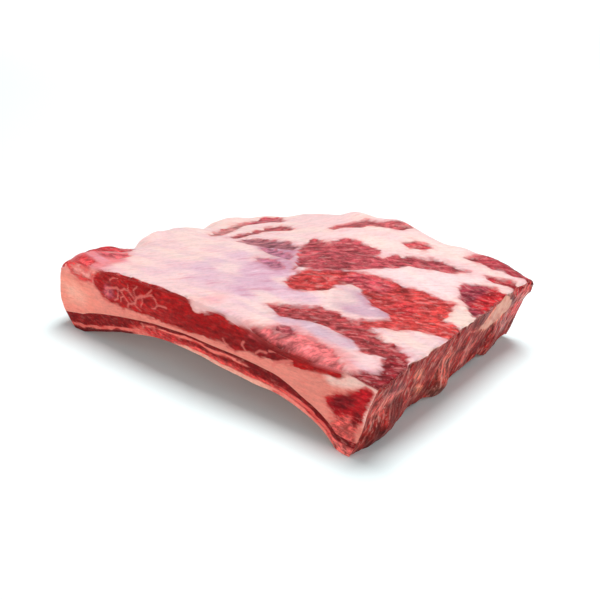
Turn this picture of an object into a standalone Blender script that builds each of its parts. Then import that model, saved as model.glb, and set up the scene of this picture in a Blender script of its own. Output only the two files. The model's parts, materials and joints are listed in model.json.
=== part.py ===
"""Raw beef short ribs: a slab of three ribs with the meat above them and a thin layer below.

The slab lies with its fat side up and arches off the surface between its two ends.
X runs along the ribs towards the sawn end, Y runs across them from the bare rib, Z is up.
All sizes are in metres. The profiles are written in the slab's own frame, where x is zero
at the left foot and y is zero at the bare side, and the finished solids are then moved so
that the bottom centre of their box is the origin.
"""

import math

import bmesh
import bpy
from mathutils import Vector, noise

# Sawn end
WIDTH = 0.203                 # across the ribs
SAWN_FOOT = 0.263             # foot of the sawn end
SAWN_LEAN = 0.31              # how far the sawn end leans out for each metre of height
LOBE_TOP = 0.009              # height at which the lobes at its foot stand out most
LOBE_HEIGHT = 0.024
FOOT_NOTCH_START = 0.228      # the notches below it deepen from here to the sawn end

# Lobes of soft meat at the foot of the sawn end: y, half width, how far they stand out
LOBES = (
    (0.028, 0.036, 0.0060),
    (0.098, 0.018, 0.0060),
    (0.173, 0.020, 0.0030),
)

# Notches in the foot between and beside the lobes: y, half width, height
FOOT_NOTCHES = (
    (0.061, 0.014, 0.0030),
    (0.083, 0.011, 0.0020),
    (0.124, 0.016, 0.0055),
    (0.153, 0.015, 0.0040),
    (0.196, 0.015, 0.0050),
)

# Rounded end
ROUND_END = -0.0255           # furthest point of the rounded end
ROUND_MID_HEIGHT = 0.027      # height of that furthest point
ROUND_HALF_HEIGHT = 0.0295    # the rounded end falls back over this height
ROUND_DEPTH = 0.018           # and falls back by this much at its foot
ROUND_TOP_DEPTH = 0.0115      # and by this much at its top
ROUND_POWER = 2.2             # higher is flatter at mid height
ROUND_LESS = 0.35             # share of that fall that is missing away from the bare side
ROUND_LESS_RANGE = (0.020, 0.100)
ROUND_DRIFT = 0.014           # the end lies further in, away from the bare side
ROUND_DRIFT_RANGE = (0.0, 0.110)
CORNER_START = 0.135          # the back corner is pulled in from here on
CORNER_LENGTH = 0.070
CORNER_PULL = 0.050
CORNER_POWER = 2.4
NOTCH_Y = 0.060               # notch in the rounded end, behind the torn rim
NOTCH_HALF_WIDTH = 0.015
NOTCH_INWARD = 0.005
NOTCH_DOWN = 0.006
NOTCH_RANGE = (-0.012, 0.020) # it fades out along the slab over this range
TORN_RIM = 0.0065             # height of the torn rim at the near corner
TORN_RIM_RISE = (0.0, 0.012)  # the rim rises and falls across the slab over these ranges
TORN_RIM_FALL = (0.034, 0.052)
TORN_RIM_RANGE = (-0.002, 0.024)
TORN_ALONG = (-0.005, 0.030)  # torn surface fades out over these ranges
TORN_ACROSS = (0.040, 0.075)

# Swells of the bare side: x, half length, height, half height, how far out
BARE_SWELLS = (
    (0.095, 0.085, 0.053, 0.016, 0.0025),       # the lens of muscle
    (0.150, 0.110, 0.036, 0.010, -0.0015),      # the rib below it lies back
    (0.262, 0.022, 0.002, 0.018, 0.0045),       # the foot at the sawn end turns out
)

# Far side
FAR_BULGE = 0.0075            # how far it swells at mid height
FAR_BULGE_HEIGHT = 0.033
FAR_BULGE_LESS = 0.5          # share of it that is missing at the sawn end
FAR_LESS_RANGE = (0.215, 0.275)

# Fat side
NEAR_CROWN = 0.068            # highest point along the bare side
NEAR_CROWN_X = 0.115
NEAR_LEFT_FALL = 0.65         # how fast it falls, for each square metre
NEAR_RIGHT_FALL = 0.34
FAR_CROWN = 0.0755            # highest point along the far side
FAR_CROWN_X = 0.160
FAR_CROWN_ROUND = 0.020       # length over which the far crown turns
FAR_LEFT_SLOPE = 0.27
FAR_RIGHT_SLOPE = 0.15
CROWN_RANGE = (0.0, 0.200)    # the surface turns from one crown to the other over this width
END_FULLNESS = 0.006          # extra height in the middle of the rounded end
END_FULLNESS_Y = 0.105
END_FULLNESS_HALF_WIDTH = 0.045
END_FULLNESS_RANGE = (0.0, 0.060)
NEAR_EDGE_RADIUS = 0.0035
SHOULDER_RADIUS = 0.013       # rounder stretch of the near edge
SHOULDER_X = 0.205
SHOULDER_LENGTH = 0.060
FAR_EDGE_RADIUS = 0.010
ROUND_END_RADIUS = 0.006
SAWN_EDGE_RADIUS = 0.0015

# Swellings and dips of the fat side: x, y, radius, height
SWELLINGS = (
    (-0.004, 0.084, 0.017, 0.0040),
    (-0.004, 0.141, 0.015, -0.0030),
    (0.004, 0.167, 0.026, 0.0045),
    (0.040, 0.200, 0.028, -0.0036),
    (0.125, 0.198, 0.022, 0.0032),
    (0.168, 0.195, 0.017, 0.0020),
    (0.203, 0.197, 0.024, -0.0044),
    (0.258, 0.200, 0.026, 0.0034),
)

# Lean streaks that lie lower than the fat: start, end, half width
LEAN_DEPTH = 0.0016
LEAN_EDGE = 0.3               # share of the half width over which a streak's edge slopes
LEAN_STREAKS = (
    ((0.152, 0.098), (0.262, 0.094), 0.014),
    ((0.122, 0.118), (0.182, 0.128), 0.011),
    ((0.186, 0.132), (0.240, 0.162), 0.007),
    ((0.172, 0.036), (0.272, 0.042), 0.008),
    ((0.154, 0.070), (0.182, 0.078), 0.008),
    ((0.128, 0.170), (0.168, 0.200), 0.005),
    ((0.182, 0.180), (0.202, 0.180), 0.007),
    ((0.236, 0.195), (0.278, 0.196), 0.005),
    ((0.256, 0.148), (0.276, 0.148), 0.014),
    ((0.052, 0.120), (0.110, 0.116), 0.004),
    ((0.033, 0.114), (0.036, 0.168), 0.004),
    ((0.185, 0.012), (0.235, 0.010), 0.007),
)

# Underside
ARCH_HEIGHT = 0.0255          # clear height under the slab
ARCH_RISE = 0.112             # the arch rises over this length from the left foot
ARCH_FALL = 0.188             # it falls from here to the right foot
ARCH_END = 0.250
ARCH_SAG = 0.0045             # it hangs lower past the middle
ARCH_SAG_X = 0.180
ARCH_SAG_LENGTH = 0.070
GROOVE = 0.003                # shallow groove between two ribs
RIB_GAPS = ((0.068, 0.030), (0.147, 0.024))     # middle of each space between ribs, half width

# Layers
LAYER = 0.011                 # thickness of the layer below the ribs
LAYER_LEFT = 0.0065           # how much thicker it is towards the rounded end
LAYER_LEFT_RANGE = (-0.020, 0.090)
LAYER_TIP = 0.006             # how much thinner it is at the very tip of that end
LAYER_TIP_RANGE = (-0.025, 0.010)
LAYER_MIDDLE = 0.0045         # how much thicker it is past the middle
LAYER_MIDDLE_X = 0.172
LAYER_MIDDLE_LENGTH = 0.055
BETWEEN = 0.009               # how much thicker it is between two ribs
RIM = 0.005                   # least meat left above a rib
GAP = 0.0003                  # clearance between touching solids

# Ribs: centre across the slab, half width, height above the lower layer
NEAR_HALF_WIDTH = 0.026
NEAR_HEIGHT = 0.019
NEAR_BARE = 0.0065            # height of rib that shows along the bare side
NEAR_WAIST = 0.004            # and how much less shows at its waist
NEAR_WAIST_X = 0.132
NEAR_WAIST_LENGTH = 0.035
MIDDLE_CENTRE = 0.108
MIDDLE_HALF_WIDTH = 0.023
FAR_CENTRE = 0.180
FAR_HALF_WIDTH = 0.019
HIDDEN_HEIGHT = 0.018         # height of the middle and far ribs
END_FLARE = 0.003             # extra height of those ribs at the sawn end
END_FLARE_RANGE = (0.180, 0.260)

# The near rib flares in three places: start and end along x, then the growth of its bare
# height, its height and its half width. The first flare grows towards the left.
NEAR_FLARES = (
    (0.030, -0.005, 0.030, 0.020, 0.006),
    (0.170, 0.220, 0.009, 0.007, 0.003),
    (0.222, 0.262, 0.031, 0.024, 0.008),
)

# Uneven surfaces: depth of the swells and their size along X, Y and Z
ROUND_ROUGH = (0.0022, (0.016, 0.016, 0.016))
SAWN_ROUGH = (0.0016, (0.011, 0.011, 0.018))
BARE_ROUGH = (0.0008, (0.023, 0.014, 0.014))
FAR_ROUGH = (0.0015, (0.026, 0.018, 0.018))
FAT_ROUGH = (0.0010, (0.029, 0.013, 0.013))
TORN_ROUGH = (0.0024, (0.013, 0.013, 0.013))
SAWN_SLICE = 0.3              # each surface reads a slice of the relief of its own
FAR_SLICE = 0.5
FAT_SLICE = 0.2

# Mesh density: along the ribs, across each rib and each gap between ribs, and up a side
ALONG = 24
RIB_STEPS = 5
NEAR_STEPS = 6
GAP_STEPS = 2
SIDE_STEPS = 4
LAYER_STEPS = 2
BARE_STEPS = 3
FINE = 2                      # the top is this many times finer than what is hidden
END_CROWDING = 0.4            # 0 spreads the points evenly along the ribs
SIDE_REACH = 0.030            # the two long sides bend the points this near to them
SHARP_ANGLE = 40.0            # degrees between faces that look like an edge

# Finish: colour and roughness
MEAT = ((0.50, 0.13, 0.12), 0.45)
DARK_MEAT = ((0.36, 0.06, 0.05), 0.45)
BONE = ((0.72, 0.38, 0.30), 0.50)


def clamp(value):
    return min(1.0, max(0.0, value))


def ease(start, end, value):
    """Smooth step from 0 at start to 1 at end."""
    t = clamp((value - start) / (end - start))
    return t * t * (3.0 - 2.0 * t)


def mix(a, b, t):
    return a + (b - a) * t


def bump(centre, half_width, value):
    """Smooth hump of height 1 that is zero beyond half_width from its centre."""
    t = clamp(1.0 - abs(value - centre) / half_width)
    return t * t * (3.0 - 2.0 * t)


def rough(kind, x, y, z):
    """Smooth uneven relief of a depth and size."""
    depth, size = kind
    return depth * noise.noise(Vector((x / size[0], y / size[1], z / size[2])))


def segment_distance(x, y, start, end):
    run = (end[0] - start[0], end[1] - start[1])
    t = clamp(((x - start[0]) * run[0] + (y - start[1]) * run[1]) / (run[0] ** 2 + run[1] ** 2))
    return math.hypot(x - start[0] - t * run[0], y - start[1] - t * run[1])


# Outline

def round_end(y, z):
    """x of the rounded end, which swells at mid height and turns in at the back corner."""
    back = abs((z - ROUND_MID_HEIGHT) / ROUND_HALF_HEIGHT) ** ROUND_POWER
    back *= ROUND_TOP_DEPTH if z > ROUND_MID_HEIGHT else ROUND_DEPTH
    back *= 1.0 - ROUND_LESS * ease(*ROUND_LESS_RANGE, y)
    drift = ROUND_DRIFT * ease(*ROUND_DRIFT_RANGE, y)
    corner = CORNER_PULL * clamp((y - CORNER_START) / CORNER_LENGTH) ** CORNER_POWER
    notch = NOTCH_INWARD * bump(NOTCH_Y, NOTCH_HALF_WIDTH, y)
    return ROUND_END + back + drift + corner + notch + rough(ROUND_ROUGH, 0.0, y, z)


def sawn_end(y, z):
    """x of the sawn end: a leaning flat cut with soft lobes at its foot."""
    lobes = sum(depth * bump(centre, half, y) for centre, half, depth in LOBES)
    lobes *= bump(LOBE_TOP, LOBE_HEIGHT, z)
    return SAWN_FOOT + SAWN_LEAN * z + lobes + rough(SAWN_ROUGH, SAWN_SLICE, y, z)


def bare_side(x, z):
    """y of the bare side: the lens of muscle swells and the rib below it lies back."""
    y = rough(BARE_ROUGH, x, 0.0, z)
    for centre_x, half_length, height, half_height, out in BARE_SWELLS:
        y -= out * bump(centre_x, half_length, x) * bump(height, half_height, z)
    return y


def far_side(x, z):
    """How far the far side stands out from the nominal width."""
    swell = 1.0 - ((z - FAR_BULGE_HEIGHT) / FAR_BULGE_HEIGHT) ** 2
    swell *= 1.0 - FAR_BULGE_LESS * ease(*FAR_LESS_RANGE, x)
    return FAR_BULGE * swell + rough(FAR_ROUGH, x, FAR_SLICE, z)


# Heights

def between_ribs(y):
    """1 half way between two ribs, 0 below a rib."""
    return max(bump(centre, half, y) for centre, half in RIB_GAPS)


def arch(x, y):
    """The plain arch of the slab, which the seam above the lower layer follows too."""
    rise = math.sin(0.5 * math.pi * clamp(x / ARCH_RISE))
    fall = 1.0 - clamp((x - ARCH_FALL) / (ARCH_END - ARCH_FALL)) ** 2
    sag = ARCH_SAG * bump(ARCH_SAG_X, ARCH_SAG_LENGTH, x)
    return ARCH_HEIGHT * rise * fall - sag + GROOVE * between_ribs(y)


def underside(x, y):
    """The arch, with notches in the foot of the sawn end."""
    notches = sum(height * bump(centre, half, y) for centre, half, height in FOOT_NOTCHES)
    return arch(x, y) + notches * ease(FOOT_NOTCH_START, SAWN_FOOT, x)


def seam(x, y):
    """Height of the seam between the lower layer and what lies on it."""
    thick = LAYER + LAYER_LEFT * (1.0 - ease(*LAYER_LEFT_RANGE, x))
    thick += LAYER_MIDDLE * bump(LAYER_MIDDLE_X, LAYER_MIDDLE_LENGTH, x)
    thick -= LAYER_TIP * (1.0 - ease(*LAYER_TIP_RANGE, x))
    return arch(x, y) + thick + BETWEEN * between_ribs(y)


def near_crown(x):
    fall = NEAR_LEFT_FALL if x < NEAR_CROWN_X else NEAR_RIGHT_FALL
    return NEAR_CROWN - fall * (x - NEAR_CROWN_X) ** 2


def far_crown(x):
    slope = FAR_LEFT_SLOPE if x < FAR_CROWN_X else FAR_RIGHT_SLOPE
    return FAR_CROWN - slope * (math.hypot(x - FAR_CROWN_X, FAR_CROWN_ROUND) - FAR_CROWN_ROUND)


def lean(x, y):
    """1 in the middle of a lean streak, 0 on the fat."""
    most = 0.0
    for start, end, half in LEAN_STREAKS:
        inner, outer = (1.0 - LEAN_EDGE) * half, (1.0 + LEAN_EDGE) * half
        most = max(most, 1.0 - ease(inner, outer, segment_distance(x, y, start, end)))
    return most


def edge_drop(distance, radius):
    """How far a rounded edge lies below the surface, at a distance in from it."""
    t = clamp(1.0 - distance / radius)
    return radius * (1.0 - math.sqrt(1.0 - t * t))


def top(x, y):
    """Height of the fat side, with its lean streaks and rounded edges."""
    height = mix(near_crown(x), far_crown(x), ease(*CROWN_RANGE, y))
    full = bump(END_FULLNESS_Y, END_FULLNESS_HALF_WIDTH, y)
    height += END_FULLNESS * full * (1.0 - ease(*END_FULLNESS_RANGE, x))
    rim = ease(*TORN_RIM_RISE, y) * (1.0 - ease(*TORN_RIM_FALL, y))
    height += TORN_RIM * rim * (1.0 - ease(*TORN_RIM_RANGE, x))
    height -= NOTCH_DOWN * bump(NOTCH_Y, NOTCH_HALF_WIDTH, y) * (1.0 - ease(*NOTCH_RANGE, x))
    for centre_x, centre_y, radius, swell in SWELLINGS:
        height += swell * bump(0.0, radius, math.hypot(x - centre_x, y - centre_y))
    height -= LEAN_DEPTH * lean(x, y)
    torn = (1.0 - ease(*TORN_ALONG, x)) * (1.0 - ease(*TORN_ACROSS, y))
    height += mix(rough(FAT_ROUGH, x, y, FAT_SLICE), rough(TORN_ROUGH, x, y, FAT_SLICE), torn)
    radius = mix(NEAR_EDGE_RADIUS, SHOULDER_RADIUS, bump(SHOULDER_X, SHOULDER_LENGTH, x))
    height -= edge_drop(y, radius)
    height -= edge_drop(WIDTH - y, FAR_EDGE_RADIUS)
    height -= edge_drop(x - round_end(y, height), ROUND_END_RADIUS)
    height -= edge_drop(SAWN_FOOT + SAWN_LEAN * height - x, SAWN_EDGE_RADIUS)
    return height


# Ribs: each returns the centre, half width and height of its section at x

def near_rib(x):
    """The rib at the bare side, whose section is cut off where it shows."""
    bare = NEAR_BARE - NEAR_WAIST * bump(NEAR_WAIST_X, NEAR_WAIST_LENGTH, x)
    height = NEAR_HEIGHT
    half_width = NEAR_HALF_WIDTH
    for start, end, more_bare, more_height, more_width in NEAR_FLARES:
        flare = ease(0.0, 1.0, (x - start) / (end - start))
        bare += more_bare * flare
        height += more_height * flare
        half_width += more_width * flare
    return half_width * math.sqrt(1.0 - (bare / height) ** 2), half_width, height


def middle_rib(x):
    return MIDDLE_CENTRE, MIDDLE_HALF_WIDTH, HIDDEN_HEIGHT + END_FLARE * ease(*END_FLARE_RANGE, x)


def far_rib(x):
    return FAR_CENTRE, FAR_HALF_WIDTH, HIDDEN_HEIGHT + END_FLARE * ease(*END_FLARE_RANGE, x)


def section(rib, steps, gap, x):
    """Points (y, rise) over the top of a rib's section, grown by gap on all sides."""
    centre, half_width, height = rib(x)
    half_width += gap
    height += gap
    start = math.acos(clamp(centre / half_width)) if rib is near_rib else 0.0
    points = []
    for step in range(steps + 1):
        angle = mix(start, math.pi, step / steps)
        points.append((centre - half_width * math.cos(angle), height * math.sin(angle)))
    return points


def lines_across(x, gap):
    """Points (y, rise above the seam) from the bare side to the far side at x."""
    points = section(near_rib, NEAR_STEPS, gap, x)
    points[0] = (0.0, points[0][1])
    for rib in (middle_rib, far_rib):
        following = section(rib, RIB_STEPS, gap, x)
        for step in range(1, GAP_STEPS):
            points.append((mix(points[-1][0], following[0][0], step / GAP_STEPS), 0.0))
        points += following
    last = points[-1][0]
    points += [(mix(last, WIDTH, step / GAP_STEPS), 0.0) for step in range(1, GAP_STEPS + 1)]
    return points


ACROSS = NEAR_STEPS + 2 * (GAP_STEPS + RIB_STEPS) + GAP_STEPS
NEAR_LINES = range(0, NEAR_STEPS + 1)
MIDDLE_LINES = range(NEAR_STEPS + GAP_STEPS, NEAR_STEPS + GAP_STEPS + RIB_STEPS + 1)
FAR_LINES = range(MIDDLE_LINES[-1] + GAP_STEPS, MIDDLE_LINES[-1] + GAP_STEPS + RIB_STEPS + 1)


def rise_under_rim(x, y, rise):
    """A rib's rise, kept low enough to leave the least meat above it."""
    room = top(x, max(y, 2.0 * NEAR_EDGE_RADIUS)) - RIM - seam(x, y)
    return min(rise, max(0.0, room))


# Placing points

def placed(share, line):
    """Point at a share of the way along the slab; line gives (y, z) for an x.

    Points lie closer together near both ends, where the slab curves most.
    """
    share = mix(share, ease(0.0, 1.0, share), END_CROWDING)
    y, z = line(mix(ROUND_END, SAWN_FOOT, share))
    x = mix(round_end(y, z), sawn_end(y, z), share)
    y, z = line(x)
    near = clamp(1.0 - y / SIDE_REACH) ** 2
    far = clamp(1.0 - (WIDTH - y) / SIDE_REACH) ** 2
    return Vector((x, y + near * bare_side(x, z) + far * far_side(x, z), z))


def solid_from(name, bm, colour, roughness):
    """Make an object with its own material from a finished bmesh."""
    bmesh.ops.triangulate(bm, faces=bm.faces, quad_method='SHORT_EDGE')
    mesh = bpy.data.meshes.new(name)
    bm.to_mesh(mesh)
    bm.free()
    material = bpy.data.materials.new(name)
    material.use_nodes = True
    shader = material.node_tree.nodes['Principled BSDF']
    shader.inputs['Base Color'].default_value = (*colour, 1.0)
    shader.inputs['Roughness'].default_value = roughness
    shader.inputs['Metallic'].default_value = 0.0
    mesh.materials.append(material)
    mesh.shade_smooth()
    mesh.set_sharp_from_angle(angle=math.radians(SHARP_ANGLE))
    solid = bpy.data.objects.new(name, mesh)
    bpy.context.scene.collection.objects.link(solid)
    return solid


def split_quad(bm, a, b, c, d):
    """Two triangles that share the edge a to c, so that facing solids are cut alike."""
    bm.faces.new((a, b, c))
    bm.faces.new((a, c, d))


def block(counts, low_step, place):
    """Close the six faces of a block of lattice points (i, j, k).

    The low face and what joins it take every low_step-th point along i and j. A cell
    there takes in the finer points along its edges, so the mesh stays closed.
    """
    ni, nj, nk = counts
    bm = bmesh.new()
    points = {}
    for i in range(ni + 1):
        for j in range(nj + 1):
            for k in range(nk + 1):
                inside = 0 < i < ni and 0 < j < nj and 0 < k < nk
                skipped = k == 0 and (i % low_step or j % low_step)
                if not inside and not skipped:
                    points[i, j, k] = bm.verts.new(place(i / ni, j / nj, k / nk))

    def cell(*corners):
        around = []
        for start, end in zip(corners, corners[1:] + corners[:1]):
            steps = max(abs(b - a) for a, b in zip(start, end))
            for step in range(steps):
                key = tuple(a + (b - a) * step // steps for a, b in zip(start, end))
                if key in points:
                    around.append(points[key])
        if len(around) == 4:
            split_quad(bm, *around)
        else:
            bm.faces.new(around)

    for i in range(ni):
        for j in range(nj):
            cell((i, j, nk), (i + 1, j, nk), (i + 1, j + 1, nk), (i, j + 1, nk))
    for i in range(0, ni, low_step):
        for j in range(0, nj, low_step):
            a, b = i + low_step, j + low_step
            cell((i, j, 0), (i, b, 0), (a, b, 0), (a, j, 0))
    for k in range(nk):
        step = low_step if k == 0 else 1
        for i in range(0, ni, step):
            a = i + step
            cell((i, 0, k), (a, 0, k), (a, 0, k + 1), (i, 0, k + 1))
            cell((a, nj, k), (i, nj, k), (i, nj, k + 1), (a, nj, k + 1))
        for j in range(0, nj, step):
            b = j + step
            cell((0, b, k), (0, j, k), (0, j, k + 1), (0, b, k + 1))
            cell((ni, j, k), (ni, b, k), (ni, b, k + 1), (ni, j, k + 1))
    return bm


# The solids

def upper_meat():
    """The thick muscle and fat above the ribs, down to the seam between them."""
    def low_line(t):
        number = t * ACROSS
        before = min(int(number), ACROSS - 1)

        def line(x):
            points = lines_across(x, GAP)
            y, rise = (mix(a, b, number - before) for a, b in zip(points[before], points[before + 1]))
            lift = rise_under_rim(x, y, rise) + min(rise, GAP)
            return y, seam(x, y) + lift + GAP
        return line

    def place(share, t, w):
        low = low_line(t)

        def line(x):
            low_y, low_z = low(x)
            high_y = WIDTH * t
            high_z = top(x, high_y)
            return mix(low_y, high_y, w), mix(low_z, high_z, w)
        return placed(share, line)

    bm = block((ALONG * FINE, ACROSS * FINE, SIDE_STEPS), FINE, place)
    return solid_from('upper_meat', bm, *MEAT)


def lower_meat():
    """The thin layer below the ribs, arched between its two feet."""
    def place(share, t, w):
        number = round(t * ACROSS)

        def line(x):
            y = lines_across(x, 0.0)[number][0]
            return y, mix(underside(x, y), seam(x, y), w)
        return placed(share, line)

    bm = block((ALONG, ACROSS, LAYER_STEPS), 1, place)
    return solid_from('lower_meat', bm, *DARK_MEAT)


def rib_bone(name, lines):
    """A rib, bare along the near side or closed in the meat, with both its ends showing."""
    bare = lines[0] == 0

    def ring(share):
        def low(number):
            def line(x):
                y = lines_across(x, 0.0)[number][0]
                return y, seam(x, y) + GAP
            return line

        def high(number, part=1.0):
            def line(x):
                y, rise = lines_across(x, 0.0)[number]
                return y, seam(x, y) + GAP + part * rise_under_rim(x, y, rise)
            return line

        around = [low(number) for number in lines]
        around += [high(number) for number in reversed(lines[1:-1])]
        if bare:
            around += [high(0, 1.0 - step / BARE_STEPS) for step in range(BARE_STEPS)]
        return [placed(share, line) for line in around]

    bm = bmesh.new()
    rings = [[bm.verts.new(point) for point in ring(i / ALONG)] for i in range(ALONG + 1)]
    count = len(rings[0])
    below = len(lines) - 1
    for here, there in zip(rings, rings[1:]):
        for n in range(count):
            m = (n + 1) % count
            if n < below:
                split_quad(bm, here[n], here[m], there[m], there[n])
            else:
                split_quad(bm, here[m], there[m], there[n], here[n])
    bm.faces.new(rings[0])
    bm.faces.new(reversed(rings[-1]))
    bmesh.ops.recalc_face_normals(bm, faces=bm.faces)
    return solid_from(name, bm, *BONE)


def centre_on_origin(solids):
    """Move the solids together so that the bottom centre of their box is the origin."""
    corners = [vertex.co for solid in solids for vertex in solid.data.vertices]
    low = [min(corner[axis] for corner in corners) for axis in range(3)]
    high = [max(corner[axis] for corner in corners) for axis in range(3)]
    offset = Vector((-0.5 * (low[0] + high[0]), -0.5 * (low[1] + high[1]), -low[2]))
    for solid in solids:
        for vertex in solid.data.vertices:
            vertex.co += offset


def main():
    for old in list(bpy.data.objects):
        bpy.data.objects.remove(old, do_unlink=True)
    solids = [
        upper_meat(),
        rib_bone('rib_near', NEAR_LINES),
        rib_bone('rib_middle', MIDDLE_LINES),
        rib_bone('rib_far', FAR_LINES),
        lower_meat(),
    ]
    centre_on_origin(solids)


main()
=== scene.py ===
"""Raw beef short ribs: a slab of three ribs with its fat side up, on a pale floor.

Each CAD solid is replaced by a fine closed mesh of the same form. Lengths are millimetres in
the slab's own frame (x along the ribs from the left foot, y across them from the bare side,
z up) until mesh_from moves the points to the row's frame. Each point carries the masks and
tints that the shader needs, worked out from named outlines of the lean, fat and silverskin.
"""

import json
import math
from functools import cache, reduce

import bmesh
import bpy
import numpy as np
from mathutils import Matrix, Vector, noise

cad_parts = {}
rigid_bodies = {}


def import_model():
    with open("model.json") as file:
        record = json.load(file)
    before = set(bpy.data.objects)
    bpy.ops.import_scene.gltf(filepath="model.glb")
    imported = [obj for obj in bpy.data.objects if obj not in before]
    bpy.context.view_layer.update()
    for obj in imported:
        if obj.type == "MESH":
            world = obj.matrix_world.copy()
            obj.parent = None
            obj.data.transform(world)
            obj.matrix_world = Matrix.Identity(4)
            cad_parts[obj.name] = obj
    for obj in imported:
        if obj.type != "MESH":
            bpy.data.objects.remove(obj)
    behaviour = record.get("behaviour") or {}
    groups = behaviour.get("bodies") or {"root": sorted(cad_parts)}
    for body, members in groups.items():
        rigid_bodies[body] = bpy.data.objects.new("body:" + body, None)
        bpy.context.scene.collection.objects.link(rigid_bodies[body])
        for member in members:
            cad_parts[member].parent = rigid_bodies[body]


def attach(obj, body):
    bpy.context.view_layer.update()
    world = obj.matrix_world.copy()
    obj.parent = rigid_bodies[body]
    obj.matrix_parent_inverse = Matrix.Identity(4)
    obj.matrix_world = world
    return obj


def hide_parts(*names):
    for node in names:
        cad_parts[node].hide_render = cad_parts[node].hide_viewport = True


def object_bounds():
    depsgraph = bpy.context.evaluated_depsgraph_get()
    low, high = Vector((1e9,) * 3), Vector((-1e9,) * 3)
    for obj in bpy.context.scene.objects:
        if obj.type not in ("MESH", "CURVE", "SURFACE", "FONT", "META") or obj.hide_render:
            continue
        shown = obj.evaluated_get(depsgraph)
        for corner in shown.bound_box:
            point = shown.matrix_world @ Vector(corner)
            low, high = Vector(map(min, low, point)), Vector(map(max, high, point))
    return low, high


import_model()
cad_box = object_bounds()

OFFSET = np.array((128.989, 103.58, 0))  # the slab's frame less the row's frame
MM = 0.001  # metres

# ---- form, as in the solids

WIDTH = 203
SAWN_FOOT = 263
SAWN_LEAN = 0.31
LOBE_TOP, LOBE_HEIGHT = 9, 24
# along the foot of the sawn end: middle y, half width, mm out or up
LOBES = ((28, 36, 6), (98, 18, 6), (173, 20, 3))
FOOT_NOTCHES = ((61, 14, 3), (83, 11, 2), (124, 16, 5.5), (153, 15, 4), (196, 15, 5))
FOOT_NOTCH_START = 228
ROUND_END = -25.5
ROUND_MID, ROUND_HALF = 27, 29.5
ROUND_DEPTH, ROUND_TOP_DEPTH, ROUND_POWER = 18, 8.5, 2.2
ROUND_LESS, ROUND_LESS_RANGE = 0.35, (20, 100)
ROUND_DRIFT, ROUND_DRIFT_RANGE = 14, (0, 110)
CORNER_START, CORNER_LENGTH, CORNER_PULL, CORNER_POWER = 135, 70, 50, 2.4
NOTCH_Y, NOTCH_HALF, NOTCH_INWARD, NOTCH_DOWN = 60, 15, 5, 6
NOTCH_RANGE = (-12, 20)
TORN_RIM, TORN_RIM_RISE, TORN_RIM_FALL, TORN_RIM_RANGE = 6.5, (-8, 8), (34, 52), (-2, 24)
TORN_ALONG, TORN_ACROSS = (-5, 30), (40, 75)
# middle x, half length, middle z, half height, mm out
BARE_SWELLS = ((95, 85, 53, 16, 2.5), (150, 110, 36, 10, -1.5), (262, 22, 2, 18, 4.5))
FAR_BULGE, FAR_BULGE_HEIGHT, FAR_BULGE_LESS, FAR_LESS_RANGE = 7.5, 33, 0.5, (215, 275)
NEAR_CROWN, NEAR_CROWN_X, NEAR_LEFT_FALL, NEAR_RIGHT_FALL = 68, 115, 0.00065, 0.00034
FAR_CROWN, FAR_CROWN_X, FAR_CROWN_ROUND = 75.5, 160, 20
FAR_LEFT_SLOPE, FAR_RIGHT_SLOPE = 0.27, 0.15
CROWN_RANGE = (0, 200)
END_FULLNESS, END_FULLNESS_Y, END_FULLNESS_HALF, END_FULLNESS_RANGE = 6, 105, 45, (0, 60)
NEAR_EDGE_RADIUS, SHOULDER_RADIUS, SHOULDER_X, SHOULDER_LENGTH = 3.5, 13, 205, 60
FAR_EDGE_RADIUS, ROUND_END_RADIUS, SAWN_EDGE_RADIUS = 10, 6, 1.5
# middle x, middle y, radius, mm up
SWELLINGS = (
    (-4, 84, 17, 4), (-4, 141, 15, -3), (4, 167, 26, 4.5), (40, 200, 28, -3.6),
    (125, 198, 22, 3.2), (168, 195, 17, 2), (203, 197, 24, -4.4), (258, 200, 26, 3.4),
)
ARCH_HEIGHT, ARCH_RISE, ARCH_FALL, ARCH_END = 25.5, 112, 188, 250
ARCH_SAG, ARCH_SAG_X, ARCH_SAG_LENGTH = 4.5, 180, 70
GROOVE, RIB_GAPS = 3, ((68, 30), (147, 24))  # gaps: middle, half width
LAYER, LAYER_LEFT, LAYER_LEFT_RANGE = 11, 6.5, (-20, 90)
LAYER_TIP, LAYER_TIP_RANGE = 6, (-25, 10)
LAYER_MIDDLE, LAYER_MIDDLE_X, LAYER_MIDDLE_LENGTH = 4.5, 172, 55
BETWEEN, RIM = 9, 5
NEAR_HALF, NEAR_HEIGHT, NEAR_BARE = 26, 19, 6.5
NEAR_WAIST, NEAR_WAIST_X, NEAR_WAIST_LENGTH = 4, 132, 35
# start and end x, more depth of the cut, more height, more half width
NEAR_FLARES = ((30, -5, 30, 20, 6), (170, 220, 9, 7, 3), (222, 262, 31, 24, 8))
HIDDEN_RIBS = ((108, 23), (180, 19))  # middle and half width
HIDDEN_HEIGHT, END_FLARE, END_FLARE_RANGE = 18, 3, (180, 260)
# roughness of a surface: mm out, then the length of its swells along x, y and z
ROUND_ROUGH = (2.2, (16, 16, 16))
SAWN_ROUGH = (1.6, (11, 11, 18))
BARE_ROUGH = (0.8, (23, 14, 14))
FAR_ROUGH = (1.5, (26, 18, 18))
FAT_ROUGH = (1, (29, 13, 13))
TORN_ROUGH = (2.4, (13, 13, 13))
SAWN_SLICE, FAR_SLICE, FAT_SLICE = 300, 500, 200
RIB_STEPS, GAP_STEPS = (6, 5, 5), 2  # lattice steps over each rib, and past it
ACROSS = sum(RIB_STEPS) + len(RIB_STEPS) * GAP_STEPS
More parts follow.
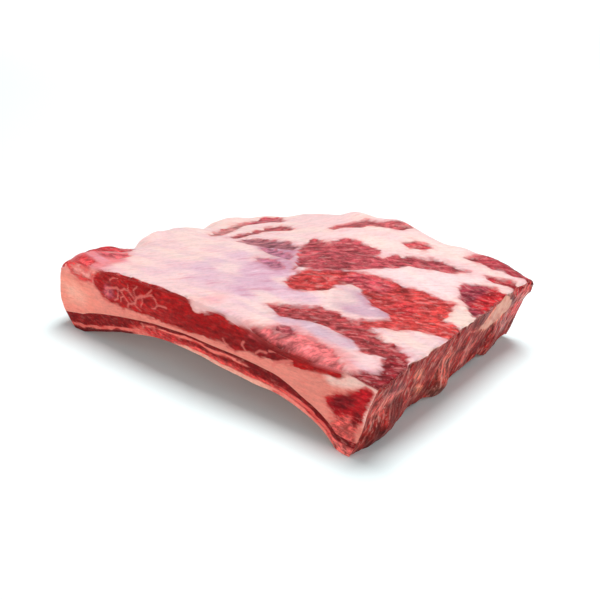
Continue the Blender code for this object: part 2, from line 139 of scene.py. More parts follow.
# lattice steps of each piece along, across and up
LATTICES = {
    'upper_meat': (280, 184, 24), 'lower_meat': (280, 132, 10), 'rib_near': (280, 48, 20),
    'rib_middle': (60, 40, 16), 'rib_far': (60, 34, 16),
}
END_CROWDING, SIDE_REACH = 0.4, 30


def clamp(v):
    return np.clip(v, 0, 1)


def ease(start, end, v):
    t = clamp((v - start) / (end - start))
    return t * t * (3 - 2 * t)


def mix(a, b, t):
    return a + (b - a) * t


def bump(centre, half, v):
    t = clamp(1 - abs(v - centre) / half)
    return t * t * (3 - 2 * t)


def wave(size, x, y, z):
    """Smooth noise from -1 to 1 at each point, with swells of a size along x, y and z."""
    x, y, z = np.broadcast_arrays(x, y, z)
    points = zip((x / size[0]).ravel(), (y / size[1]).ravel(), (z / size[2]).ravel())
    values = np.fromiter((noise.noise(Vector(p)) for p in points), float, x.size)
    return values.reshape(x.shape)


def rough(kind, x, y, z):
    return kind[0] * wave(kind[1], x, y, z)


def round_end(y, z):
    back = abs((z - ROUND_MID) / ROUND_HALF) ** ROUND_POWER
    back = back * np.where(z > ROUND_MID, ROUND_TOP_DEPTH, ROUND_DEPTH)
    back = back * (1 - ROUND_LESS * ease(*ROUND_LESS_RANGE, y))
    drift = ROUND_DRIFT * ease(*ROUND_DRIFT_RANGE, y)
    corner = CORNER_PULL * clamp((y - CORNER_START) / CORNER_LENGTH) ** CORNER_POWER
    notch = NOTCH_INWARD * bump(NOTCH_Y, NOTCH_HALF, y)
    return ROUND_END + back + drift + corner + notch + rough(ROUND_ROUGH, 0, y, z)


def sawn_end(y, z):
    lobes = sum(depth * bump(centre, half, y) for centre, half, depth in LOBES)
    lobes = lobes * bump(LOBE_TOP, LOBE_HEIGHT, z)
    return SAWN_FOOT + SAWN_LEAN * z + lobes + rough(SAWN_ROUGH, SAWN_SLICE, y, z)


def bare_side(x, z):
    y = rough(BARE_ROUGH, x, 0, z)
    for centre_x, half_x, centre_z, half_z, out in BARE_SWELLS:
        y = y - out * bump(centre_x, half_x, x) * bump(centre_z, half_z, z)
    return y


def far_side(x, z):
    swell = 1 - ((z - FAR_BULGE_HEIGHT) / FAR_BULGE_HEIGHT) ** 2
    swell = swell * (1 - FAR_BULGE_LESS * ease(*FAR_LESS_RANGE, x))
    return FAR_BULGE * swell + rough(FAR_ROUGH, x, FAR_SLICE, z)


def between_ribs(y):
    return np.maximum(bump(*RIB_GAPS[0], y), bump(*RIB_GAPS[1], y))


def arch(x, y):
    rise = np.sin(0.5 * math.pi * clamp(x / ARCH_RISE))
    fall = 1 - clamp((x - ARCH_FALL) / (ARCH_END - ARCH_FALL)) ** 2
    sag = ARCH_SAG * bump(ARCH_SAG_X, ARCH_SAG_LENGTH, x)
    return ARCH_HEIGHT * rise * fall - sag + GROOVE * between_ribs(y)


def underside(x, y):
    notches = sum(height * bump(centre, half, y) for centre, half, height in FOOT_NOTCHES)
    return arch(x, y) + notches * ease(FOOT_NOTCH_START, SAWN_FOOT, x)


def seam(x, y):
    """Height of the top of the dark layer, on which the ribs and the muscle lie."""
    thick = LAYER + LAYER_LEFT * (1 - ease(*LAYER_LEFT_RANGE, x))
    thick = thick + LAYER_MIDDLE * bump(LAYER_MIDDLE_X, LAYER_MIDDLE_LENGTH, x)
    thick = thick - LAYER_TIP * (1 - ease(*LAYER_TIP_RANGE, x))
    return arch(x, y) + thick + BETWEEN * between_ribs(y)


def edge_drop(distance, radius):
    t = clamp(1 - distance / radius)
    return radius * (1 - np.sqrt(1 - t * t))


def top(x, y):
    """Height of the fat side before the lean is let into it."""
    near = NEAR_CROWN - np.where(x < NEAR_CROWN_X, NEAR_LEFT_FALL, NEAR_RIGHT_FALL) \
        * (x - NEAR_CROWN_X) ** 2
    far = FAR_CROWN - np.where(x < FAR_CROWN_X, FAR_LEFT_SLOPE, FAR_RIGHT_SLOPE) \
        * (np.hypot(x - FAR_CROWN_X, FAR_CROWN_ROUND) - FAR_CROWN_ROUND)
    height = mix(near, far, ease(*CROWN_RANGE, y))
    full = bump(END_FULLNESS_Y, END_FULLNESS_HALF, y)
    height += END_FULLNESS * full * (1 - ease(*END_FULLNESS_RANGE, x))
    rim = ease(*TORN_RIM_RISE, y) * (1 - ease(*TORN_RIM_FALL, y))
    height += TORN_RIM * rim * (1 - ease(*TORN_RIM_RANGE, x))
    height -= NOTCH_DOWN * bump(NOTCH_Y, NOTCH_HALF, y) * (1 - ease(*NOTCH_RANGE, x))
    for centre_x, centre_y, radius, swell in SWELLINGS:
        height += swell * bump(0, radius, np.hypot(x - centre_x, y - centre_y))
    torn = (1 - ease(*TORN_ALONG, x)) * (1 - ease(*TORN_ACROSS, y))
    height += mix(rough(FAT_ROUGH, x, y, FAT_SLICE), rough(TORN_ROUGH, x, y, FAT_SLICE), torn)
    radius = mix(NEAR_EDGE_RADIUS, SHOULDER_RADIUS, bump(SHOULDER_X, SHOULDER_LENGTH, x))
    height -= edge_drop(y, radius)
    height -= edge_drop(WIDTH - y, FAR_EDGE_RADIUS)
    height -= edge_drop(x - round_end(y, height), ROUND_END_RADIUS)
    return height - edge_drop(SAWN_FOOT + SAWN_LEAN * height - x, SAWN_EDGE_RADIUS)


def rib_section(x, number):
    """Centre, half width and height of rib 0, 1 or 2 at x."""
    if number == 0:
        bare = NEAR_BARE - NEAR_WAIST * bump(NEAR_WAIST_X, NEAR_WAIST_LENGTH, x)
        height, half = NEAR_HEIGHT, NEAR_HALF
        for start, end, more_bare, more_height, more_half in NEAR_FLARES:
            flare = ease(0, 1, (x - start) / (end - start))
            bare += more_bare * flare
            height = height + more_height * flare
            half = half + more_half * flare
        return half * np.sqrt(1 - (bare / height) ** 2), half, height
    height = HIDDEN_HEIGHT + END_FLARE * ease(*END_FLARE_RANGE, x)
    return (*HIDDEN_RIBS[number - 1], height)


def rib_arc(x, number, t):
    """Point (y, rise) at a share t of the way over a rib."""
    centre, half, height = rib_section(x, number)
    start = np.arccos(clamp(centre / half)) if number == 0 else 0
    angle = mix(start, math.pi, t)
    return centre - half * np.cos(angle), height * np.sin(angle)


def first_step(rib):
    """Lattice step at which a rib starts."""
    return sum(RIB_STEPS[:rib]) + rib * GAP_STEPS


def across(x, t):
    """Point (y, rise above the seam) at a share t of the way from the bare to the far side."""
    number = t * ACROSS
    y = np.zeros_like(number)
    rise = np.zeros_like(number)
    for rib, steps in enumerate(RIB_STEPS):
        first = first_step(rib)
        last = first + steps
        arc_y, arc_rise = rib_arc(x, rib, clamp((number - first) / steps))
        on_rib = (number >= first) & (number <= last)
        y = np.where(on_rib, arc_y, y)
        rise = np.where(on_rib, np.maximum(arc_rise, 0), rise)
        end_y = rib_arc(x, rib, 1)[0]
        next_y = WIDTH if rib == 2 else rib_arc(x, rib + 1, 0)[0]
        in_gap = (number > last) & (number <= last + GAP_STEPS)
        y = np.where(in_gap, mix(end_y, next_y, (number - last) / GAP_STEPS), y)
    return np.where(number == 0, 0, y), rise


def rise_under_rim(x, y, rise):
    room = top(x, np.maximum(y, 2 * NEAR_EDGE_RADIUS)) - RIM - seam(x, y)
    return np.minimum(rise, np.maximum(0, room))


def placed(share, line):
    """Points at a share of the way along the slab; line gives (y, z) for an x."""
    share = mix(share, ease(0, 1, share), END_CROWDING)
    y, z = line(mix(ROUND_END, SAWN_FOOT, share))
    x = mix(round_end(y, z), sawn_end(y, z), share)
    y, z = line(x)
    near = clamp(1 - y / SIDE_REACH) ** 2
    far = clamp(1 - (WIDTH - y) / SIDE_REACH) ** 2
    return np.stack((x, y + near * bare_side(x, z) + far * far_side(x, z), z), -1)


# ---- outlines on the surfaces

@cache
def corners(outline):
    """Corners of an outline or a line, written as 'u,v u,v ...' in mm on its side."""
    return [tuple(float(number) for number in pair.split(',')) for pair in outline.split()]


def line_distance(u, v, line, closed=False):
    """Distance to a line, or to a closed outline."""
    points = corners(line)
    nearest = np.full(u.shape, np.inf)
    for (au, av), (bu, bv) in zip(points, points[1:] + (points[:1] if closed else [])):
        du, dv = bu - au, bv - av
        t = clamp(((u - au) * du + (v - av) * dv) / (du * du + dv * dv))
        nearest = np.minimum(nearest, (u - au - t * du) ** 2 + (v - av - t * dv) ** 2)
    return np.sqrt(nearest)


def shape_distance(u, v, outline):
    """Signed distance to a closed outline, positive inside."""
    points = corners(outline)
    odd = np.zeros(u.shape, bool)
    for (au, av), (bu, bv) in zip(points, points[1:] + points[:1]):
        if av != bv:
            odd ^= ((av > v) != (bv > v)) & (u < (bu - au) * (v - av) / (bv - av) + au)
    return np.where(odd, 1, -1) * line_distance(u, v, outline, closed=True)


def srgb(colour):
    """Linear colour of an sRGB triple of 0 to 255."""
    c = np.array(colour, float) / 255
    return np.where(c <= 0.04045, c / 12.92, ((c + 0.055) / 1.055) ** 2.4)


MOST_ALBEDO = 0.92
TOP_LIGHT, ROUND_LIGHT = 1.22, 0.84
SAWN_OUT = np.array((1, 0, -SAWN_LEAN)) / math.hypot(1, SAWN_LEAN)
# Colour of fat, colour of lean, how brightly the studio lights the side, which way its relief
# stands out, strength of the pale strands and of the painted sheen they carry, direction of
# the fibres in degrees, coarseness
SIDES = {
    'top': ((246, 208, 208), (176, 62, 66), TOP_LIGHT, (0, 0, 1), 0.36, 33, 1.3),
    'bare': ((222, 130, 116), (154, 22, 23), 0.89, (0, -1, 0), 0.07, 4, 1),
    'sawn': ((248, 206, 186), (146, 44, 40), 0.95, SAWN_OUT, 0.15, 82, 1.2),
    'round': ((240, 150, 130), (176, 56, 56), ROUND_LIGHT, (-1, 0, 0), 0.45, 10, 1),
    'far': ((250, 212, 206), (160, 58, 60), 0.97, (0, 1, 0), 0.55, 6, 1.2),
    'low bare': ((214, 120, 108), (160, 40, 36), 0.75, (0, -1, 0), 0.3, -6, 0.8),
    'under': ((222, 168, 156), (150, 52, 50), 0.75, (0, 0, -1), 0.5, 70, 1.2),
    'inside meat': ((250, 222, 214), (160, 50, 50), 1, (0, 0, 1), 0.5, 0, 1),
    'inside rib': ((222, 139, 122), (176, 80, 76), 1, (0, 0, 1), 0.5, 0, 1),
    'inside layer': ((214, 150, 138), (140, 40, 38), 1, (0, 0, 1), 0.5, 0, 1),
}
# What the shader reads, and how the mesh calls its data
SHADER_VALUES = {'lean': 'value', 'vein': 'value', 'streak': 'value',
                 'fat': 'vector', 'red': 'vector', 'grain': 'vector'}
FAR_OUTSIDE = -20.0  # mm: what lean and vein start from
# mm inside an outline over which the colour, and the relief, of the lean come in
LEAN_FADE, LEAN_BORDER = (-4, 1), (-1.2, 1.6)
WELL_PAST = 3  # mm past the border: all lean, or all fat


class Coat:
    """What the shader needs at each point (u, v) of a side.

    Colours are given as they look in the studio light, so each is divided by how brightly
    that side of the slab is lit.
    """

    def __init__(self, side, u, v):
        fat, red, self.light, out, streak, direction, coarse = SIDES[side]
        self.lean = np.full(u.size, FAR_OUTSIDE)  # mm inside the lean
        self.vein = np.full(u.size, FAR_OUTSIDE)  # mm inside a line of fat
        self.streak = np.full(u.size, streak)
        self.relief = np.zeros(u.size)  # mm outwards
        self.out = np.tile(np.array(out, float), (u.size, 1))
        self.fat = np.tile(self.albedo(fat), (u.size, 1))
        self.red = np.tile(self.albedo(red), (u.size, 1))
        angle = np.radians(direction)
        along = u * np.cos(angle) + v * np.sin(angle)
        over = v * np.cos(angle) - u * np.sin(angle)
        self.grain = np.stack((along, over, np.zeros(u.size)), -1) / coarse

    def albedo(self, colour):
        wanted = srgb(colour) / self.light
        return wanted * min(1, MOST_ALBEDO / wanted.max())

    def tint(self, which, amount, colour):
        tints = self.fat if which == 'fat' else self.red
        tints += (self.albedo(colour) - tints) * clamp(amount)[:, None]

    def patches(self, which, u, v, table):
        """Tint soft patches."""
        for outline, soft, colour in table:
            self.tint(which, ease(-soft, soft, shape_distance(u, v, outline)), colour)

    def add_lean(self, u, v, table):
        """Add lean areas, each of its own colour."""
        for outline, colour in table:
            inside = shape_distance(u, v, outline)
            self.tint('red', ease(*LEAN_FADE, inside), colour)
            self.lean = np.maximum(self.lean, inside)

    def add_veins(self, u, v, table):
        """Add lines of fat, which are listed by their half width in mm."""
        for half, lines in table.items():
            for line in lines:
                self.vein = np.maximum(self.vein, half - line_distance(u, v, line))

    def merge(self, part, where):
        for key in (*SHADER_VALUES, 'relief', 'out'):
            getattr(self, key)[where] = getattr(part, key)


# Rows of the tables of outlines: an outline, how soft its border is in mm (left out for the
# lean areas, which are equally sharp), and a colour.

# Fat side (x, y): lean areas and their colours
TOP_LEAN = (
    ('155,66 155,78 157,86 167,96 180,101 191,108 207,113 220,115 236,117 251,119 261,121 '
     '265,114 264,106 268,98 276,95 288,95 288,88 280,80 269,77 258,70 248,62 240,56 232,50 '
     '227,54 236,63 241,71 238,78 231,78 221,78 213,84 202,90 194,90 186,82 186,73 179,65 168,57 '
     '156,62', (186, 60, 60)),
    ('173,35 184,42 195,49 208,53 220,50 228,54 232,50 241,50 249,47 260,45 268,44 276,43 273,37 '
     '264,30 250,26 244,30 231,33 219,34 208,33 195,28 187,26 183,23 168,29', (166, 62, 66)),
    ('149,81 143,92 135,105 124,118 126,133 141,130 147,141 158,143 172,144 181,143 184,132 '
     '192,134 194,146 204,152 218,164 233,166 246,168 235,155 223,148 211,141 202,129 192,120 '
     '184,108 175,99 162,92 147,86', (174, 72, 80)),
    ('189,166 192,174 201,180 207,178 205,170 196,164', (186, 66, 74)),
    ('123,160 128,157 133,164 145,168 150,175 161,178 174,183 179,191 169,190 161,187 150,185 '
     '140,185 133,178 128,172', (176, 84, 88)),
    ('232,184 240,192 247,197 255,202 266,205 286,207 286,193 278,192 271,189 264,187 257,185 '
     '250,185 241,185', (166, 58, 68)),
    ('260,170 268,177 278,182 284,179 284,173 275,173 267,169', (168, 44, 54)),
    ('255,141 254,150 260,156 270,162 280,162 283,152 282,141 280,124 279,118 269,128 '
     '262,131', (150, 52, 66)),
    ('36,110 40,112 40,125 36,140 29,170 24,165 22,150 25,140 28,128 32,115', (196, 116, 116)),
    ('28,170 30,190 38,195 45,190 55,180 62,172 50,172 40,165 32,160', (182, 76, 88)),
    ('50,118 57,130 58,140 62,155 70,160 80,158 88,153 80,148 73,142 68,138 65,130 62,120 '
     '60,116', (168, 78, 84)),
    ('70,116 75,118 90,119 105,121 115,119 125,116 125,109 110,108 95,106 85,105 '
     '70,108', (150, 92, 102)),
    ('98,103 112,104 131,99 135,92 117,93', (176, 112, 134)),
    ('110,84 127,84 140,78 130,74', (172, 108, 130)),
    ('172,-3 178,1 186,5 198,6 204,10 211,14 222,14 234,14 248,6 254,1 253,-3', (230, 118, 120)),
    ('190,8 194,14 201,16 205,12 200,8', (150, 60, 70)),
    ('258,1 263,5 270,10 272,18 267,26 266,34 270,39 276,38 282,32 284,20 286,8 284,0 '
     '268,-2', (136, 34, 42)),
    ('-34,-4 -16,-2 -9,3 -4,9 1,17 6,23 12,30 14,41 8,50 3,46 -3,53 -9,47 -15,55 -22,48 '
     '-34,56', (190, 40, 50)),
    ('-8,-4 -6,1 0,5 8,7 13,5 10,-1 0,-4', (210, 70, 74)),
    ('4,16 10,18 20,24 24,32 16,34 8,26', (216, 96, 104)),
)

# Fat side: soft patches of fat, and of lean, of another colour
TOP_FAT = (
    ('-30,120 20,130 60,200 100,215 -30,215', 20, (250, 216, 210)),
    ('70,24 80,60 90,95 105,112 125,112 150,108 158,90 158,62 190,62 205,50 190,49 170,40 160,30 '
     '165,22 150,17 120,27 100,20', 9, (232, 194, 207)),
    ('106,35 110,61 114,79 136,88 156,59 155,39 143,23 120,25', 7, (224, 182, 200)),
    ('88,110 98,120 127,116 146,102 152,82 143,71 127,69 106,87', 5, (204, 152, 174)),
    ('190,86 200,89 213,86 218,81 225,80 235,83 240,78 239,70 233,65 225,60 215,57 205,55 197,60 '
     '192,70 188,78', 3, (206, 168, 184)),
    ('165,22 175,30 190,32 215,31 230,34 240,33 246,25 235,20 215,17 200,21 185,15 '
     '170,17', 4, (214, 182, 196)),
    ('243,55 250,63 258,70 268,77 276,80 276,48 255,50', 3, (250, 216, 210)),
    ('160,0 180,7 188,14 200,21 215,18 235,20 250,16 262,6 258,-4 160,-4', 5, (238, 168, 168)),
    ('112,-3 118,8 125,18 138,20 140,8 130,-3', 6, (244, 184, 186)),
    ('-20,-4 -10,12 8,30 24,36 40,20 30,-4', 7, (236, 140, 144)),
    ('27,3 30,25 32,40 52,14 46,3', 6, (246, 196, 200)),
    ('200,118 205,132 225,146 248,160 262,168 256,150 250,138 258,126 '
     '240,120', 5, (252, 220, 220)),
    ('264,98 262,122 274,128 284,116 284,98', 3, (248, 218, 208)),
    ('130,145 150,152 185,165 190,190 220,200 240,180 210,165 190,152', 8, (251, 220, 214)),
)
TOP_RED = (
    ('182,90 188,108 206,112 220,109 217,97 200,89', 4, (180, 66, 76)),
    ('232,84 231,98 244,98 250,88 242,80', 3, (190, 52, 56)),
)
TORN_SHADOW = '-14,58 -5,58 3,54 11,47'

# Bare side (x, z)
LENS = ('16,49 18,54 22,59 29,65 37,72 48,76 61,76 76,76 90,76 102,76 112,74 118,67.4 122,63 '
        '127,61 135,62 145,66 152,66 155,62.3 161,61.4 172,64 185,68 200,68 215,65 234,60 '
        '246,58.5 255,56 248,52.5 236,50.5 222,49 208,50 202,47.5 195,46.2 184,43.9 173,44.6 '
        '161,41.5 146,42 132,42.6 124,41.4 112,40.5 100,39.6 88,39.5 77,38.4 67,38 56,37.5 '
        '45,36.5 37,37 28,38.5 23,41.5 19,44')
BARE_LEAN = (
    (LENS, (154, 8, 10)),
    ('-18,56 -12,61 0,68 14,80 30,80 25,73 12,67 2,62 -6,58', (206, 56, 58)),
    ('-14,56 -8,54 -1,51.4 8,50.8 12,52 15,56 17,54 14,48 6,46.5 -4,47 -10,49', (196, 52, 52)),
    ('3,58 8,60 14,62 13,58 8,55.5', (206, 70, 70)),
    ('240,34 247,40 255,45 263,50 272,54.5 278,53 276,46 273,38 270,30 266,20 258,17 250,22 '
     '243,28', (164, 14, 22)),
    ('238,-2 240,10 246,18 252,23 258,26 264,24 266,12 262,-2', (206, 84, 78)),
)
BARE_RED = (
    ('28,44 31,51 38,51 39,44 33,41', 3, (178, 74, 86)),
    ('151,42 151,52 160,55 169,51 167,42', 3, (110, 18, 20)),
    ('90,40 90,52 150,56 200,52 200,40', 8, (136, 4, 6)),
    ('168,46 171,58 198,60 212,55 205,49 190,45', 4, (116, 6, 10)),
    ('176,58 180,70 250,66 256,60 240,57 205,58', 3, (222, 96, 96)),
    ('243,32 248,38 256,43 264,44 263,37 256,32 250,29', 3, (112, 2, 12)),
    ('260,22 262,32 268,36 269,28 265,21', 2.5, (120, 6, 12)),
    ('262,46 268,50 274,52 272,44 266,42', 2.5, (186, 18, 30)),
)
BARE_VEINS = {
    0.6: ('89,53.9 87,50.7 82,48.4', '30,41.4 34,47.8 32,48.8', '52,49 48,46 47,42',
          '67,52 63,57 66,61', '72,55.6 73,50 70,46', '58,50 60,47 65,44 69,42',
          '36,56 40,60 46,62'),
    0.7: ('45,53.6 46,50 44,44 39,41', '77,57.3 81,62.5 82,64.5', '49,52.5 53,55.6 57,55'),
    0.8: ('32,48.8 38,51.5 45,53.6 49,52.5 52,49.2 55,46 57,44 54,40',
          '57,60 58,55 61,53 64,51 65,48.4 60,44.3 57,44',
          '65,48.4 67,52.5 72,55.6 77,57.3 83,59.4 87,57.4 89,54 93,54.4 98,54.5',
          '192,52 200,54 208,53 216,56', '180,46 184,49 190,50', '-10,53 -4,56 0,60'),
    0.9: ('151,47 153,43.6 157,41.7 160,41.1', '171,45.2 169,48.5 170,52', '2,52 6,56 8,62',
          '14,52 16,58 24,64'),
    1.1: ('195,41 198,46 205,49 212,52', '-6,56 2,57 8,58 14,60 20,66'),
}
BARE_FAT = (
    ('-30,14 -30,44 -16,48 8,40 22,32 10,22', 9, (240, 140, 122)),
    # The next patch, brighter in the middle of the rounded rib end, is a painted highlight
    ('-14,24 -22,36 -8,40 6,34 2,26', 8, (252, 172, 152)),
    ('-16,50 -14,60 6,66 22,68 16,50', 5, (236, 150, 142)),
    ('195,33 200,47 240,50 252,46 244,34 230,27', 7, (220, 128, 114)),
    ('238,52 256,59 284,64 284,54 262,50 246,46', 3, (255, 203, 190)),
    ('268,30 272,42 275,50 279,58 290,62 284,30 272,20', 2, (255, 194, 182)),
    ('190,58 190,74 280,74 280,60 240,60', 3, (222, 112, 110)),
    ('232,60 236,70 262,70 258,58 246,59', 3, (244, 140, 136)),
    ('118,60 118,80 170,80 165,60', 3, (248, 200, 196)),
)

# Sawn end (y, z): patches of the cut face, in the order they are laid on
WEDGE = ('134,41 142,45 148,50 152,53 156,58 160,61 170,55 178,48 181,40 172,34 159,32 146,34')
SAWN_RED = (
    ('10,38 14,43 24,42 36,40 42,33 30,27 14,24 6,28', 5, (196, 116, 108)),
    ('0,62 6,68 16,66 25,58 28,49 16,53 6,56', 4, (150, 50, 54)),
    ('18,45 23,48 36,44 42,37 34,35 25,38', 3, (134, 62, 66)),
    ('20,32 28,34 38,32 47,23 45,16 41,8 38,-2 33,-2 29,13', 4, (120, 36, 34)),
    ('4,14 14,16 24,12 36,-2 20,-3 8,-2', 4, (112, 32, 28)),
    ('52,27 61,24 75,15 78,8 70,4 57,14', 4, (146, 52, 44)),
    ('72,17 73,23 83,20 91,16 88,10 82,7', 3, (116, 30, 28)),
    ('84,10 92,13 104,6 106,-2 90,0', 3, (128, 86, 76)),
    ('49,48 56,44 63,39 66,33 58,34 52,40', 3, (206, 138, 120)),
    ('57,28 64,26 73,19 71,15 63,21', 2, (204, 138, 112)),
    ('86,40 92,44 106,36 104,14 90,12 84,24', 5, (170, 92, 82)),
    ('109,72 130,63 142,60 149,56 144,50 139,44 131,42 115,51 112,60', 3, (122, 44, 42)),
    ('104,74 111,80 124,80 145,76 152,64 142,59 127,64 110,70', 3, (170, 34, 40)),
    (WEDGE, 2.5, (214, 158, 132)),
    ('160,60 165,62 174,55 188,43 184,40 169,51', 2, (120, 44, 42)),
    ('166,66 172,74 196,64 200,48 188,44 176,55', 3, (176, 50, 60)),
    ('159,31 171,33 180,39 190,36 190,20 185,9 176,10 164,23', 4, (176, 92, 88)),
    ('163,28 169,31 178,27 182,19 174,17', 3, (168, 60, 52)),
    ('142,14 143,22 148,27 157,23 165,15 158,11 150,10', 3, (122, 30, 36)),
    ('120,10 124,26 136,30 142,20 138,8', 5, (172, 92, 88)),
    ('188,26 186,60 206,70 208,20', 3, (176, 40, 48)),
    ('170,66 174,71 183,69 181,62 174,61', 1.5, (64, 16, 16)),
)
SAWN_VEINS = {
    0.6: ('66,30 72,38 80,46',),
    0.7: ('72,52 76,60 82,66', '124,14 130,24 128,34'),
    0.8: ('54,44 57,49 60,55', '20,33 29,35 42,33', '112,34 120,44 132,40'),
    0.9: ('49,31 54,23 52,18',),
    1: ('176,64 186,58 194,52',),
    1.2: ('101,76 108,70 114,65 118,58',),
    1.3: ('0,54 1,44 1,36 -2,32',),
    1.8: ('22,64 27,62',),
}

# Bare side of the dark layer: bands from the seam down, as (start, end) of x, (low, high)
# share of the layer's height, what they are of, and its colour
LOW_BANDS = (
    ((-40, 62), (0.4, 1.2), 'red', (108, 0, 2)),
    ((40, 96), (0.66, 1.2), 'red', (114, 2, 4)),
    ((-40, 84), (0.21, 0.34), 'fat', (200, 94, 84)),
    # The next band, darkest along the bottom at the left end, is painted shade near the floor
    ((-40, 66), (-0.2, 0.17), 'red', (80, 12, 14)),
    ((66, 130), (0.12, 0.62), 'red', (164, 38, 38)),
    ((80, 300), (0.82, 1.2), 'red', (98, 2, 6)),
    ((60, 170), (0.68, 0.8), 'fat', (224, 112, 100)),
    ((100, 215), (0.42, 0.62), 'red', (118, 8, 10)),
    ((165, 300), (0.62, 0.9), 'red', (104, 4, 8)),
    ((110, 300), (0.26, 0.42), 'red', (190, 60, 56)),
    ((195, 300), (0.42, 0.6), 'fat', (206, 84, 78)),
    ((100, 200), (-0.2, 0.22), 'fat', (234, 166, 146)),
    ((195, 300), (-0.2, 0.24), 'fat', (228, 130, 116)),
    ((240, 300), (-0.2, 0.6), 'red', (206, 92, 86)),
)
BAND_SOFT_X, BAND_SOFT_W, BAND_WAVE, BAND_COVER = 14, 0.07, 0.1, 1.5


# ---- meshes

HIDDEN_STEP = 2  # how many times coarser the hidden face of a block is
SHARP_ANGLE = 55  # degrees between faces that look like an edge
SMALLEST = 1e-6  # metres; points closer than this are one point


class Block:
    """Six faces of a lattice block: its points, faces and which side each point is on.

    place gives the points for shares of the way along, across and up. The face at 0 of the
    way up is hidden; flip turns the block over.
    """

    def __init__(self, node, place, flip=False):
        ni, nj, nk = LATTICES[node]
        i, j, k = np.meshgrid(range(ni + 1), range(nj + 1), range(nk + 1), indexing='ij')
        outer = (i == 0) | (i == ni) | (j == 0) | (j == nj) | (k == 0) | (k == nk)
        keep = outer & ~((k == 0) & ((i % HIDDEN_STEP != 0) | (j % HIDDEN_STEP != 0)))
        self.ids = np.full(i.shape, -1)
        self.ids[keep] = np.arange(keep.sum())
        i, j, k = i[keep], j[keep], k[keep]
        w = k / nk
        self.points = place(i / ni, j / nj, 1 - w if flip else w)
        self.round, self.sawn = i == 0, i == ni
        self.bare, self.far = j == 0, j == nj
        self.wide = (k == nk) & ~(self.round | self.sawn | self.bare | self.far)
        self.faces = []
        self.add_faces(ni, nj, nk)
        if flip:
            self.faces = [face[::-1] for face in self.faces]

    def cell(self, *ends):
        """Add a face round some lattice corners, with every kept point between them."""
        around = []
        for start, end in zip(ends, ends[1:] + ends[:1]):
            steps = max(abs(b - a) for a, b in zip(start, end))
            for step in range(steps):
                point = self.ids[tuple(a + (b - a) * step // steps for a, b in zip(start, end))]
                if point >= 0:
                    around.append(int(point))
        self.faces.append(around)

    def quads(self, ids, turned=False):
        a, b, c, d = ids[:-1, :-1], ids[1:, :-1], ids[1:, 1:], ids[:-1, 1:]
        ring = (d, c, b, a) if turned else (a, b, c, d)
        self.faces.extend(np.stack([corner.ravel() for corner in ring], -1).tolist())

    def add_faces(self, ni, nj, nk):
        """Add fine quads, and coarse ones on the hidden face k = 0 and round its border."""
        self.quads(self.ids[:, :, nk])
        self.quads(self.ids[:, 0, 1:])
        self.quads(self.ids[:, nj, 1:], True)
        self.quads(self.ids[0, :, 1:], True)
        self.quads(self.ids[ni, :, 1:])
        for i in range(0, ni, HIDDEN_STEP):
            a = i + HIDDEN_STEP
            self.cell((i, 0, 0), (a, 0, 0), (a, 0, 1), (i, 0, 1))
            self.cell((a, nj, 0), (i, nj, 0), (i, nj, 1), (a, nj, 1))
            for j in range(0, nj, HIDDEN_STEP):
                b = j + HIDDEN_STEP
                self.cell((i, j, 0), (i, b, 0), (a, b, 0), (a, j, 0))
        for j in range(0, nj, HIDDEN_STEP):
            b = j + HIDDEN_STEP
            self.cell((0, b, 0), (0, j, 0), (0, j, 1), (0, b, 1))
            self.cell((ni, j, 0), (ni, b, 0), (ni, b, 1), (ni, j, 1))


def add_object(name, data):
    made = bpy.data.objects.new(name, data)
    bpy.context.scene.collection.objects.link(made)
    return made


def mesh_from(node, block, coat, material):
    """Make the piece for a node: relief along coat.out, attributes, and its place."""
    mesh = bpy.data.meshes.new(node + '_look')
    mesh.from_pydata((block.points - OFFSET) * MM, [], block.faces)
    mesh.validate()
    points = (block.points - OFFSET + coat.out * coat.relief[:, None]) * MM
    low, high = (np.array(corner) for corner in cad_box)
    mesh.vertices.foreach_set('co', np.clip(points, low, high).ravel())
    for key, kind in SHADER_VALUES.items():
        store = 'FLOAT' if kind == 'value' else 'FLOAT_VECTOR'
        values = mesh.attributes.new(key, store, 'POINT').data
        values.foreach_set(kind, getattr(coat, key).ravel())
    mesh.materials.append(material)
    mesh.shade_smooth()
    mesh.update()
    piece = add_object(node + '_look', mesh)
    bm = bmesh.new()
    bm.from_mesh(mesh)
    bmesh.ops.remove_doubles(bm, verts=bm.verts, dist=SMALLEST)
    bmesh.ops.dissolve_degenerate(bm, edges=bm.edges, dist=SMALLEST)
    bm.to_mesh(mesh)
    bm.free()
    mesh.set_sharp_from_angle(angle=math.radians(SHARP_ANGLE))
    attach(piece, 'root')
    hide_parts(node)


# ---- material

# Noise: way it lies, squeeze along the fibres, scale, detail, roughness, place it is cut at
NOISES = {
    'fine': ('lean', 0.5, 0.85, 4, 0.65, 0),
    'middle': ('lean', 0.5, 0.34, 4, 0.6, 11),
    'broad': ('lean', 0.5, 0.13, 3, 0.5, 23),
    'strands': ('lean', 0.36, 0.42, 4, 0.55, 37),
    'crossing': ('crossing', 0.42, 0.42, 4, 0.55, 83),
    'wrinkles': ('fat', 0.16, 0.62, 3, 0.6, 97),
    'mottle': ('lean', 0.8, 0.45, 5, 0.75, 51),
    'smears': ('fat', 0.22, 0.22, 5, 0.65, 67),
}
SHIFT_WAY = (1, 0.7, 1.3)
CROSSING = 0.45  # radians between the two sets of pale strands
FAT_TURN = 14  # degrees from the fibres of the lean to the wrinkles of the fat
RAGGED_BORDER = {'middle': 3.6, 'fine': 0.9, 'broad': 8.5}  # mm that a noise moves it
